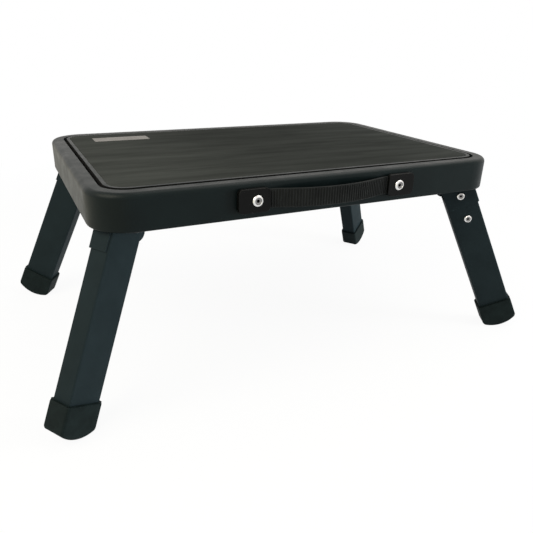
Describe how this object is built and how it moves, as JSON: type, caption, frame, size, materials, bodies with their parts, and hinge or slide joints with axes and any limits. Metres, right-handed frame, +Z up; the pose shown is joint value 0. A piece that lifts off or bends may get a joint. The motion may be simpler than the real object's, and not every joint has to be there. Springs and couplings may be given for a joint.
{
  "type": "folding caravan entry step",
  "caption": "Low caravan entry step: rounded moulded deck with an inlaid rubber tread, splayed folding box-section legs with rubber feet and a strap carry handle.",
  "frame": {"origin": "on the floor, under the middle of the deck", "axes": "+X along the deck's long side, +Y away from the carry handle, +Z up"},
  "size_m": [0.6088, 0.3886, 0.2292],
  "materials": {
    "deck_plastic": "satin moulded plastic, near black with a slate cast",
    "rib_plastic": "plain moulded plastic, near black",
    "tread_rubber": "matt rubber with fine streaks, dark grey",
    "label_grey": "bare light grey label",
    "hinge_plastic": "moulded black nylon",
    "leg_paint": "satin powder coat, slate",
    "foot_rubber": "matt black rubber",
    "strap_plastic": "flexible black plastic, ribbed",
    "handle_plastic": "moulded black plastic with a slight sheen",
    "nickel": "bright nickel plate",
    "pin_black": "blackened steel",
    "screw_steel": "zinc-plated steel"
  },
  "bodies": {
    "deck": {"deck_rim": "deck_plastic", "deck_skirt": "deck_plastic", "deck_plate": "deck_plastic", "deck_ribs": "rib_plastic", "tread_panel": "deck_plastic", "tread_mat": "tread_rubber", "blank_label": "label_grey", "panel_screws": "screw_steel", "hinge_block_lf": "hinge_plastic", "hinge_block_rf": "hinge_plastic", "hinge_block_lr": "hinge_plastic", "hinge_block_rr": "hinge_plastic", "block_screws_lf": "screw_steel", "block_screws_rf": "screw_steel", "block_screws_lr": "screw_steel", "block_screws_rr": "screw_steel", "handle_strap": "strap_plastic", "strap_ribs": "strap_plastic", "handle_end_left": "handle_plastic", "handle_end_right": "handle_plastic", "handle_rivets": "nickel"},
    "leg_lf": {"leg_bracket_lf": "leg_paint", "leg_liner_lf": "leg_paint", "leg_tube_lf": "leg_paint", "leg_foot_lf": "foot_rubber", "pivot_pin_lf": "pin_black", "leg_rivets_lf": "nickel"},
    "leg_rf": {"leg_bracket_rf": "leg_paint", "leg_liner_rf": "leg_paint", "leg_tube_rf": "leg_paint", "leg_foot_rf": "foot_rubber", "pivot_pin_rf": "pin_black", "leg_rivets_rf": "nickel"},
    "leg_lr": {"leg_bracket_lr": "leg_paint", "leg_liner_lr": "leg_paint", "leg_tube_lr": "leg_paint", "leg_foot_lr": "foot_rubber", "pivot_pin_lr": "pin_black", "leg_rivets_lr": "nickel"},
    "leg_rr": {"leg_bracket_rr": "leg_paint", "leg_liner_rr": "leg_paint", "leg_tube_rr": "leg_paint", "leg_foot_rr": "foot_rubber", "pivot_pin_rr": "pin_black", "leg_rivets_rr": "nickel"}
  },
  "joints": [
    {"name": "fold_lf", "type": "hinge", "parent": "deck", "child": "leg_lf", "pos_m": [-0.20258, -0.12345, 0.18856], "axis": [0.5329, -0.8462, 0], "range_deg": [0, 115.35]},
    {"name": "fold_rf", "type": "hinge", "parent": "deck", "child": "leg_rf", "pos_m": [0.20258, -0.12345, 0.18856], "axis": [0.5329, 0.8462, 0], "range_deg": [0, 115.35]},
    {"name": "fold_lr", "type": "hinge", "parent": "deck", "child": "leg_lr", "pos_m": [-0.20258, 0.12345, 0.18856], "axis": [-0.5329, -0.8462, 0], "range_deg": [0, 115.35]},
    {"name": "fold_rr", "type": "hinge", "parent": "deck", "child": "leg_rr", "pos_m": [0.20258, 0.12345, 0.18856], "axis": [-0.5329, 0.8462, 0], "range_deg": [0, 115.35]}
  ]
}
